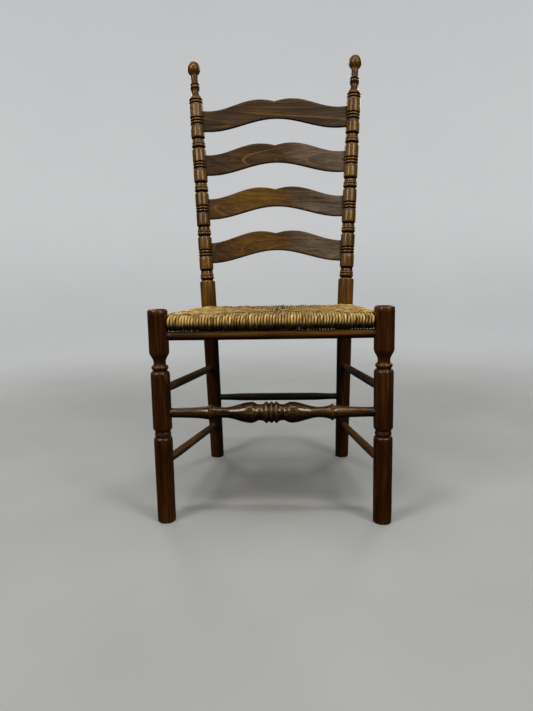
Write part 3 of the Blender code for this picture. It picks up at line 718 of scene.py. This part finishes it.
def build_cord(rng, origin, inward, rail_height, reach, lean):
    """Points and attributes of one twisted cord, closed round its rail.

    It reaches inward from origin, under the rail, to the seam, and leans over the outside.
    """
    path, length = cord_path(rail_height, reach)
    count = len(path)
    place = np.linspace(0, 1, count, endpoint=False)
    sideways = np.cross([0.0, 0.0, 1.0], inward)
    plan = origin[:2] + path[:, :1] * inward[:2]
    height = cord_height(rng, path, plan, rail_height, reach)
    free = np.sin(np.pi * place) ** 0.5  # it doesn't wander where it closes
    sway = wander(rng, count, max(2, int(length / 0.045)), 0.00055) * free
    lift = wander(rng, count, max(2, int(length / 0.035)), 0.00045) * free
    outside = np.clip(-path[:, 0] / PATH_RADIUS, 0, 1)
    sway = sway + lean * (rail_height - path[:, 1]) * outside
    centre = origin + path[:, :1] * inward + sway[:, None] * sideways
    # the front cords rest on the apron rail and never sink into it
    touching = APRON_RADIUS + 1.05 * CORD_RADIUS
    rest = np.sqrt(np.clip(touching ** 2 - (plan[:, 1] - FRONT_Y) ** 2, 0, None))
    centre[:, 2] = np.maximum(height + lift, APRON_HEIGHT + rest)
    ahead = np.roll(centre, -1, axis=0) - np.roll(centre, 1, axis=0)
    ahead /= np.linalg.norm(ahead, axis=1)[:, None]
    across = sideways - ahead * (ahead @ sideways)[:, None]
    across /= np.linalg.norm(across, axis=1)[:, None]
    outward = np.cross(ahead, across)
    # two strands, twisted together
    turns = max(1, int(round(length / rng.uniform(0.024, 0.032))))
    local = CORD_ANGLE - (np.pi * turns * place + rng.uniform(0, np.pi))[:, None]
    lobes = (STRAND_OFFSET * np.abs(np.cos(local))
             + np.sqrt(1 - (STRAND_OFFSET * np.sin(local)) ** 2))
    size = CORD_RADIUS * rng.uniform(0.94, 1.06) * (1 + wander(rng, count, 6, 0.045) * free)
    radius = size[:, None] * lobes / 1.2
    points = (centre[:, None, :] + radius[..., None]
              * (np.cos(CORD_ANGLE)[:, None] * across[:, None, :]
                 + np.sin(CORD_ANGLE)[:, None] * outward[:, None, :]))
    leaf = rng.uniform(0, 50, 3)
    along = np.broadcast_to((place * length)[:, None] + leaf[2], local.shape)
    fibre = np.stack([0.003 * np.cos(local) + leaf[0], 0.003 * np.sin(local) + leaf[1],
                      along], axis=-1)
    tone = rng.normal(0, 0.55) + wander(rng, count, max(2, int(length / 0.018)), 1.0) * free
    crease = np.clip((1.2 - lobes) / 0.26, 0, 1) ** 1.5
    dirt_and_shade = cord_dirt_and_shade(path, plan, height, rail_height, reach)
    return points.reshape(-1, 3), {
        "fibre_pos": fibre.reshape(-1, 3), "crease": crease.ravel(),
        "cord_tone": np.repeat(tone, CORD_SIDES), "dirt_and_shade": dirt_and_shade.ravel()}


def build_field(name, cords, material):
    """All the cords of one rail, as one piece.  A cord is the arguments of build_cord."""
    rng = random_for(name)
    points = []
    attributes = {}
    quads = []
    first = 0
    for arguments in cords:
        some, values = build_cord(rng, *arguments)
        points.append(some)
        for label, value in values.items():
            attributes.setdefault(label, []).append(value)
        rings = len(some) // CORD_SIDES
        quads.append(grid_quads(rings + 1, CORD_SIDES) % len(some) + first)
        first += len(some)
    merged = {label: np.concatenate(value) for label, value in attributes.items()}
    mesh = make_mesh(name, np.concatenate(points), quads)
    piece = make_piece(mesh, merged, [material], "rush_seat")


def leans(rng, count):
    """Neighbouring cords lean alike over their rail."""
    return wander(rng, count, max(2, count // 9), 0.1)


def build_rush(material):
    front, back = seam_table()
    x_axis = np.array([1.0, 0.0, 0.0])
    y_axis = np.array([0.0, 1.0, 0.0])
    rng = random_for("rush lean")
    back_y = post_axis(1, FRONT_RAIL_HEIGHT).y
    overlap = 0.0015  # how far a front or back cord runs into the seam
    tuck = 0.0045  # side cords stop beside the front or back cord they meet
    for name, seams, rail_y, inward in (("rush_front", front, FRONT_Y, y_axis),
                                        ("rush_back", back, back_y, -y_axis)):
        cords = []
        for side in (-1, 1):
            for (across, depth), lean in zip(seams, leans(rng, len(seams))):
                origin = np.array([side * across, rail_y, 0.0])
                reach = abs(rail_y - FRONT_Y - depth) + overlap
                cords.append((origin, inward, FRONT_RAIL_HEIGHT, reach, lean))
        build_field(name, cords, material)
    seams = front + back[::-1]
    for side, word in SIDES:
        cords = []
        for (across, depth), lean in zip(seams, leans(rng, len(seams))):
            rail = side_rail_x(depth)
            origin = np.array([side * rail, FRONT_Y + depth, 0.0])
            reach = max(0.012, rail - across - tuck)
            cords.append((origin, -side * x_axis, SIDE_RAIL_HEIGHT, reach, lean))
        build_field("rush_" + word, cords, material)


# ---- materials
class Nodes:
    """A small helper that adds and links the shader nodes of a material or a world."""

    def __init__(self, owner, shader="Principled BSDF"):
        self.owner = owner
        owner.use_nodes = True
        self.tree = owner.node_tree
        self.shader = self.tree.nodes[shader]

    def feed(self, value, socket):
        if isinstance(value, bpy.types.NodeSocket):
            self.tree.links.new(value, socket)
        else:
            socket.default_value = value

    def add(self, kind, *values, **settings):
        """A new node; the values or links go to its first inputs, in order."""
        node = self.tree.nodes.new("ShaderNode" + kind)
        for label, setting in settings.items():
            setattr(node, label, setting)
        for value, socket in zip(values, node.inputs):
            self.feed(value, socket)
        return node

    def attribute(self, name, output="Fac"):
        return self.add("Attribute", attribute_name=name).outputs[output]

    def coordinates(self, kind):
        return self.add("TexCoord").outputs[kind]

    def height(self, place):
        return self.add("SeparateXYZ", place).outputs["Z"]

    def maths(self, operation, *values, clamp=False):
        return self.add("Math", *values, operation=operation, use_clamp=clamp).outputs[0]

    def total(self, *terms):
        """The weighted sum of (value, weight) pairs."""
        parts = [self.maths("MULTIPLY", value, weight) for value, weight in terms]
        result = parts[0]
        for part in parts[1:]:
            result = self.maths("ADD", result, part)
        return result

    def vector(self, operation, *values):
        return self.add("VectorMath", *values, operation=operation).outputs["Vector"]

    def level_distance(self, place):
        """The distance from the Z axis."""
        level = self.vector("MULTIPLY", place, (1.0, 1.0, 0.0))
        return self.add("VectorMath", level, operation="LENGTH").outputs["Value"]

    def noise(self, position, stretch, detail=2.0, roughness=0.55, output="Fac"):
        node = self.add("TexNoise", self.vector("MULTIPLY", position, stretch))
        node.inputs["Scale"].default_value = 1.0
        node.inputs["Detail"].default_value = detail
        node.inputs["Roughness"].default_value = roughness
        return node.outputs[output]

    def remap(self, value, low, high, to_low=0.0, to_high=1.0, smooth=False):
        kind = "SMOOTHSTEP" if smooth else "LINEAR"
        node = self.add("MapRange", value, low, high, to_low, to_high, interpolation_type=kind)
        return node.outputs["Result"]

    def patchy(self, label, noise, *limits):
        """A mesh attribute, broken up by noise."""
        return self.maths("MULTIPLY", self.attribute(label), self.remap(noise, *limits))

    def ramp(self, value, colours, places=None):
        """A colour ramp, with its colours evenly spaced where no places are given."""
        if places is None:
            places = [index / (len(colours) - 1) for index in range(len(colours))]
        node = self.add("ValToRGB", value)
        elements = node.color_ramp.elements
        for end in (0, -1):
            elements[end].position = places[end]
            elements[end].color = (*colours[end], 1)
        for place, colour in zip(places[1:-1], colours[1:-1]):
            elements.new(place).color = (*colour, 1)
        return node.outputs["Color"]

    def mix(self, share, first, second):
        node = self.add("Mix", share, data_type="RGBA")
        for value, socket in ((first, node.inputs[6]), (second, node.inputs[7])):
            self.feed((*value, 1) if isinstance(value, tuple) else value, socket)
        return node.outputs[2]

    def finish(self, colour, roughness, relief, strength, distance, **plain):
        """Link the shader: relief is the bump's height, distance how deep it goes."""
        bump = self.add("Bump", strength, distance)
        self.feed(relief, bump.inputs["Height"])
        self.feed(colour, self.shader.inputs["Base Color"])
        self.feed(roughness, self.shader.inputs["Roughness"])
        self.feed(bump.outputs["Normal"], self.shader.inputs["Normal"])
        for label, value in plain.items():
            self.shader.inputs[label.replace("_", " ")].default_value = value
        return self.owner


def wood_material(name, stained, faded_and_lit, vein, ring_size, vein_share, roughness,
                  line_start=0.36, painted_sheen=None, **plain):
    """Stained wood: growth rings, long fibres, pores, blotchy stain, worn edges.

    stained, faded_and_lit and painted_sheen are each the dark, middle and light shades of the
    grain; faded_and_lit also paints light, and painted_sheen is a greyed copy that paints a
    sheen.
    """
    n = Nodes(bpy.data.materials.new(name))
    grain = n.attribute("grain_pos", "Vector")
    swirl = n.noise(grain, (9.0, 9.0, 2.2), 1.0, output="Color")
    swirl = n.vector("SUBTRACT", swirl, (0.5, 0.5, 0.5))
    bent = n.vector("ADD", grain, n.vector("MULTIPLY", swirl, (0.016, 0.016, 0.0)))
    phase = n.maths("FRACT", n.maths("DIVIDE", n.level_distance(bent), ring_size))
    late = n.remap(phase, 0.35, 1.0, 0.0, 1.0, smooth=True)
    edge = n.maths("ABSOLUTE", n.maths("SUBTRACT", phase, 0.5))
    line = n.remap(edge, line_start, 0.5, 0.0, 1.0, smooth=True)
    fibre = n.noise(grain, (430.0, 430.0, 9.0), 4.0, 0.65)
    streak = n.noise(grain, (150.0, 150.0, 4.0), 3.0, 0.6)
    pore = n.remap(n.noise(grain, (1500.0, 1500.0, 75.0), 1.0, 0.5), 0.3, 0.4, 1.0, 0.0)
    blotch = n.noise(grain, (26.0, 26.0, 7.0), 3.0, 0.6)
    tone = n.total((fibre, 0.56), (streak, 0.24), (blotch, 0.4), (late, -0.07))
    tone = n.remap(tone, 0.41, 0.73)
    colour = n.mix(n.attribute("fade_and_light"), n.ramp(tone, stained), n.ramp(tone, faded_and_lit))
    if painted_sheen:
        # painted sheen: a greyed copy of the grain
        share = n.patchy("sheen_grey_share", blotch, 0.3, 0.5, 0.6, 1.0)
        colour = n.mix(share, colour, n.ramp(tone, painted_sheen))
    patch = n.remap(n.noise(grain, (30.0, 30.0, 6.0), 2.0), 0.42, 0.62)
    colour = n.mix(n.maths("MULTIPLY", n.maths("MULTIPLY", line, patch), vein_share),
                   colour, vein)
    colour = n.mix(n.maths("MULTIPLY", pore, 0.45), colour, stained[0])
    rub = n.patchy("wear", n.noise(grain, (260.0, 260.0, 60.0), 2.0), 0.38, 0.62)
    colour = n.mix(n.maths("MULTIPLY", rub, 0.55), colour, vein)
    # old finish in the hollows and dust, with painted shade under sticks and slats, at their
    # joints and over the back stretcher, darken the wood towards black
    soot_and_shade = n.patchy("dirt_and_shade", n.noise(grain, (90.0, 90.0, 90.0), 3.0), 0.25, 0.55, 0.72, 1.0)
    colour = n.mix(soot_and_shade, colour, (0.0012, 0.0008, 0.0005))
    shine = n.remap(streak, 0.3, 0.7, roughness - 0.06, roughness + 0.08)
    shine = n.maths("ADD", shine, n.maths("MULTIPLY", soot_and_shade, 0.3), clamp=True)
    relief = n.total((fibre, 0.55), (pore, -0.45), (blotch, 0.6))
    return n.finish(colour, shine, relief, 0.35, 0.00035, **plain)


def groove_material():
    """The old finish at the bottom of a groove, thick, black and dull."""
    n = Nodes(bpy.data.materials.new("groove_black_finish"))
    grain = n.attribute("grain_pos", "Vector")
    crust = n.noise(grain, (700.0, 700.0, 300.0), 3.0, 0.6)
    colour = n.ramp(n.remap(crust, 0.3, 0.7),
                    ((0.0008, 0.0005, 0.0003), (0.005, 0.0028, 0.0014)))
    shine = n.remap(crust, 0.3, 0.7, 0.85, 0.65)
    return n.finish(colour, shine, crust, 0.4, 0.0003, Specular_IOR_Level=0.04)


def rush_material():
    """Twisted rush leaves: long fibres, straw to brown along each leaf, creases darkened by
    painted shade.
    """
    n = Nodes(bpy.data.materials.new("rush_cord_fibre"))
    place = n.attribute("fibre_pos", "Vector")
    fibre = n.noise(place, (1500.0, 1500.0, 55.0), 3.0, 0.65)
    leaf = n.noise(place, (420.0, 420.0, 26.0), 3.0, 0.6)
    patch = n.noise(place, (60.0, 60.0, 11.0), 2.0, 0.6)
    value = n.total((fibre, 0.35), (leaf, 0.45), (patch, 0.45),
                    (n.attribute("cord_tone"), 0.035))
    colour = n.ramp(n.remap(value, 0.42, 0.8),
                    ((0.014, 0.008, 0.002), (0.08, 0.044, 0.01), (0.43, 0.255, 0.055),
                     (0.7, 0.46, 0.125), (0.86, 0.65, 0.26)),
                    (0.0, 0.2, 0.4, 0.7, 1.0))
    # painted shade in the creases between the two twisted strands
    crease = n.maths("MULTIPLY", n.attribute("crease"), 0.72)
    colour = n.mix(crease, colour, (0.03, 0.016, 0.005))
    # painted shade under the rails, in the seams and between cords, with stains and the dirt of
    # sitting, darkens the cords towards black
    soot_and_shade = n.patchy("dirt_and_shade", n.noise(place, (300.0, 300.0, 60.0), 2.0), 0.3, 0.6, 0.78, 1.0)
    colour = n.mix(soot_and_shade, colour, (0.003, 0.0018, 0.0008))
    shine = n.remap(leaf, 0.3, 0.7, 0.62, 0.46)
    relief = n.total((fibre, 0.7), (leaf, 0.6))
    return n.finish(colour, shine, relief, 0.6, 0.0005, Specular_IOR_Level=0.35)


def packing_material():
    """Broken, tangled rush between the cords; hardly seen."""
    n = Nodes(bpy.data.materials.new("packed_rush_fibre"))
    place = n.coordinates("Object")
    strand = n.noise(place, (500.0, 90.0, 500.0), 4.0, 0.7)
    tangle = n.noise(place, (120.0, 480.0, 300.0), 3.0, 0.6)
    value = n.remap(n.total((strand, 0.6), (tangle, 0.4)), 0.32, 0.68)
    colour = n.ramp(value, ((0.03, 0.018, 0.008), (0.17, 0.11, 0.042),
                            (0.36, 0.26, 0.11)))
    return n.finish(colour, n.remap(strand, 0.3, 0.7, 0.95, 0.78), value, 0.8, 0.001)


def rail_material():
    """Plain unstained stick that the rush is wound on; hidden by the cords."""
    n = Nodes(bpy.data.materials.new("seat_rail_wood"))
    place = n.coordinates("Object")
    fibre = n.noise(place, (300.0, 300.0, 300.0), 4.0, 0.65)
    cloud = n.noise(place, (40.0, 40.0, 40.0), 2.0)
    value = n.remap(n.total((fibre, 0.6), (cloud, 0.4)), 0.3, 0.7)
    colour = n.ramp(value, ((0.11, 0.06, 0.026), (0.3, 0.19, 0.095)))
    return n.finish(colour, n.remap(cloud, 0.3, 0.7, 0.55, 0.75), fibre, 0.4, 0.0004)


# ---- camera, floor and light
def aim_camera():
    """In front of the chair, near, about at seat height, looking slightly down."""
    yaw, pitch, roll = math.radians(3.175), math.radians(7.966), math.radians(-1.091)
    forward = Vector((-math.sin(yaw) * math.cos(pitch), math.cos(yaw) * math.cos(pitch),
                      -math.sin(pitch)))
    level_right = Vector((math.cos(yaw), math.sin(yaw), 0.0))
    level_up = level_right.cross(forward)
    right = level_right * math.cos(roll) + level_up * math.sin(roll)
    up = level_up * math.cos(roll) - level_right * math.sin(roll)
    data = bpy.data.cameras.new("camera")
    data.lens = 26.883
    data.sensor_width = 36.0
    data.clip_start = 0.05
    camera = bpy.data.objects.new("camera", data)
    scene.collection.objects.link(camera)
    camera.matrix_world = Matrix.Translation((0.0538, -1.3807, 0.5296)) @ Matrix(
        (right, up, -forward)).transposed().to_4x4()
    scene.camera = camera


def build_stage():
    """A pale floor that curves up, far off and all round, into a pale wall."""
    flat = 3.4
    curve = 1.2
    slope = np.radians(np.linspace(6, 90, 15))
    reach = np.concatenate([[1.2, 2.4, flat], flat + curve * np.sin(slope), [flat + curve]])
    rise = np.concatenate([[0, 0, 0], curve - curve * np.cos(slope), [5.0]])
    sides = 96
    angle = 2 * np.pi * np.arange(sides) / sides
    points = np.stack([reach[:, None] * np.cos(angle), reach[:, None] * np.sin(angle),
                       np.broadcast_to(rise[:, None], (len(rise), sides))], axis=-1)
    points = np.concatenate([points.reshape(-1, 3), [[0, 0, 0]]])
    mesh = make_mesh("studio_floor", points,
                     [grid_quads(len(reach), sides)[:, ::-1],
                      cap_triangles(np.arange(sides), len(points) - 1, False)])
    n = Nodes(bpy.data.materials.new("studio_floor"))
    place = n.coordinates("Object")
    cloud = n.noise(place, (1.5, 1.5, 1.5), 3.0)
    colour = n.ramp(n.remap(cloud, 0.3, 0.7), ((0.345, 0.365, 0.38), (0.395, 0.415, 0.43)))
    # far from the lamps the stage glows a little, so that it stays pale to the horizon
    far = n.remap(n.level_distance(place), 0.8, 3.6, 0.0, 0.75, smooth=True)
    high = n.remap(n.height(place), 0.0, 1.3, 0.0, 0.25, smooth=True)
    n.feed(n.ramp(n.maths("ADD", far, high), ((0.0, 0.0, 0.0), (0.47, 0.475, 0.485))),
           n.shader.inputs["Emission Color"])
    mesh.materials.append(n.finish(colour, 0.85, cloud, 0.05, 0.01, Emission_Strength=1.0))
    floor = bpy.data.objects.new("studio_floor", mesh)
    scene.collection.objects.link(floor)
    # the pale stage is for the eye and for shadows; the chair mirrors the darker room
    floor.visible_glossy = False
    floor.visible_diffuse = False
    floor.visible_shadow = False


def add_light(name, place, aim_height, size, power, colour):
    data = bpy.data.lights.new(name, "AREA")
    data.shape = "RECTANGLE"
    data.size, data.size_y = size
    data.energy = power
    data.color = colour
    lamp = bpy.data.objects.new(name, data)
    scene.collection.objects.link(lamp)
    lamp.location = place
    direction = Vector((0, 0, aim_height)) - Vector(place)
    lamp.rotation_euler = direction.to_track_quat("-Z", "Y").to_euler()
    return lamp


def light_stage():
    for side, word in SIDES:
        add_light("front_" + word, (side * 1.7, -1.9, 2.2), 0.7, (0.8, 1.3), 32,
                  (1.0, 0.92, 0.8))
        add_light("back_" + word, (side * 1.5, 2.3, 2.3), 0.7, (0.8, 1.2), 17,
                  (1.0, 0.94, 0.85))
    add_light("high", (0.0, -1.1, 3.3), 0.4, (2.4, 0.25), 20, (1.0, 0.95, 0.88))
    overhead = add_light("overhead", (0.0, -0.2, 3.0), 0.4, (2.6, 2.2), 38,
                         (1.0, 0.975, 0.94))
    overhead.visible_glossy = False  # it lights the chair without a haze on its gloss
    # a dim room, a little lighter towards its ceiling
    n = Nodes(bpy.data.worlds.new("studio"), "Background")
    height = n.remap(n.height(n.coordinates("Generated")), -1.0, 1.0)
    room = [(0.95 * level, 0.975 * level, level) for level in (0.02, 0.03, 0.05, 0.16)]
    n.feed(n.ramp(height, room, (0.0, 0.5, 0.7, 1.0)), n.shader.inputs["Color"])
    scene.world = n.owner


# ---- the chair
aim_camera()
build_stage()
light_stage()

turned_wood = wood_material(
    "stained_wood_grain",
    stained=((0.0125, 0.003, 0.0003), (0.04, 0.0112, 0.001), (0.105, 0.036, 0.0045)),
    faded_and_lit=((0.03, 0.0115, 0.001), (0.105, 0.048, 0.0045), (0.26, 0.134, 0.018)),
    vein=(0.25, 0.11, 0.018), ring_size=0.003, vein_share=0.3, roughness=0.25,
    Specular_IOR_Level=0.42)
slat_wood = wood_material(
    "stained_slat_grain",
    stained=((0.0105, 0.0042, 0.0007), (0.035, 0.0155, 0.003), (0.078, 0.038, 0.008)),
    faded_and_lit=((0.028, 0.0115, 0.0006), (0.098, 0.044, 0.0022), (0.19, 0.094, 0.007)),
    painted_sheen=((0.034, 0.0225, 0.014), (0.098, 0.07, 0.048), (0.18, 0.136, 0.098)),
    vein=(0.23, 0.11, 0.018), ring_size=0.0105, vein_share=0.75, roughness=0.42,
    line_start=0.42, Specular_IOR_Level=0.28)
polished_wood = wood_material(
    "stained_polished_grain",
    stained=((0.003, 0.0012, 0.0003), (0.012, 0.005, 0.0008), (0.05, 0.024, 0.0044)),
    faded_and_lit=((0.004, 0.0017, 0.0003), (0.034, 0.015, 0.002), (0.19, 0.095, 0.014)),
    vein=(0.2, 0.095, 0.02), ring_size=0.003, vein_share=0.3, roughness=0.13,
    Specular_IOR_Level=0.62)
groove_black = groove_material()
build_legs((turned_wood, groove_black))
build_sticks((turned_wood, groove_black), (polished_wood, groove_black))
# tilt and pith of the grain, golden patch (strength, place, reach), grey end of painted sheen
# (strength, start)
slat_looks = (((0.035, 0.02), (0.01, 0.06), (0.1, 0.01, 0.16), (0.25, 0.08)),
              ((0.06, -0.1), (-0.015, 0.045), (0.25, -0.03, 0.08), (0.9, 0.02)),
              ((0.12, -0.09), (0.02, 0.05), (1.0, -0.06, 0.12), (1.0, 0.03)),
              ((0.15, -0.12), (0.0, 0.055), (0.8, -0.05, 0.1), (1.0, 0.02)))
for slat_index, looks in enumerate(slat_looks):
    build_slat(slat_index, slat_wood, *looks)
build_rush(rush_material())

hidden_wood = rail_material()
packing = packing_material()
for node_name, node_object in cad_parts.items():
    if node_name.startswith("seat_rail"):
        node_object.data.materials[0] = hidden_wood
    if node_name.startswith("seat_stuffing"):
        node_object.data.materials[0] = packing
